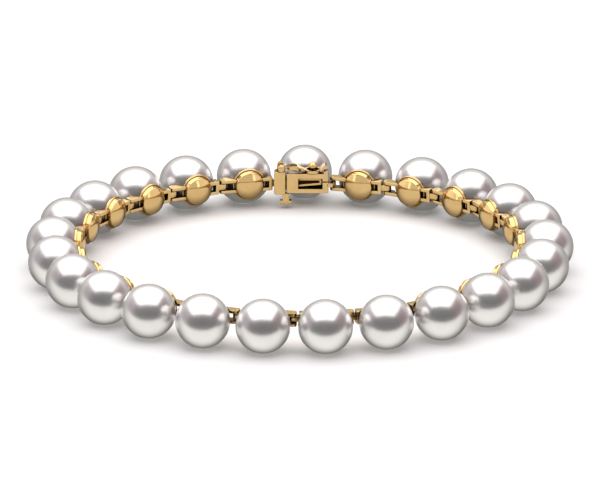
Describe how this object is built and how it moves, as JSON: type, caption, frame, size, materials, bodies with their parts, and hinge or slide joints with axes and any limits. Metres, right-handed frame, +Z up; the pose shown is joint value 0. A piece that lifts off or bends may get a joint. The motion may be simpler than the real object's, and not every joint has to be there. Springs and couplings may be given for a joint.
{
  "type": "pearl bracelet",
  "caption": "Bracelet of round pearls in hinged gold cups, closed by a box clasp with a figure-8 safety latch, lying as a closed ring.",
  "frame": {"origin": "centre of the bracelet's box, on the surface that the pearls rest on", "axes": "+Z up, +Y from the front pearls to the clasp, +X to the right seen from the front"},
  "size_m": [0.0702, 0.071, 0.007],
  "materials": {
    "pearl": "white nacre with a soft rose and green lustre, glossy",
    "gold": "polished yellow gold"
  },
  "bodies": {
    "bracelet": {"pearl_01": "pearl", "pearl_02": "pearl", "pearl_03": "pearl", "pearl_04": "pearl", "pearl_05": "pearl", "pearl_06": "pearl", "pearl_07": "pearl", "pearl_08": "pearl", "pearl_09": "pearl", "pearl_10": "pearl", "pearl_11": "pearl", "pearl_12": "pearl", "pearl_13": "pearl", "pearl_14": "pearl", "pearl_15": "pearl", "pearl_16": "pearl", "pearl_17": "pearl", "pearl_18": "pearl", "pearl_19": "pearl", "pearl_20": "pearl", "pearl_21": "pearl", "pearl_22": "pearl", "pearl_23": "pearl", "pearl_24": "pearl", "pearl_25": "pearl", "link_01": "gold", "link_02": "gold", "link_03": "gold", "link_04": "gold", "link_05": "gold", "link_06": "gold", "link_07": "gold", "link_08": "gold", "link_09": "gold", "link_10": "gold", "link_11": "gold", "link_12": "gold", "link_13": "gold", "link_14": "gold", "link_15": "gold", "link_16": "gold", "link_17": "gold", "link_18": "gold", "link_19": "gold", "link_20": "gold", "link_21": "gold", "link_22": "gold", "link_23": "gold", "link_24": "gold", "clasp_box": "gold", "clasp_tongue": "gold"},
    "safety_latch": {"safety_latch": "gold"}
  },
  "joints": [
    {"name": "latch_hinge", "type": "hinge", "parent": "bracelet", "child": "safety_latch", "pos_m": [-0.00295, 0.02686, 0.00548], "axis": [0, -1, 0], "range_deg": [0, 110]}
  ]
}
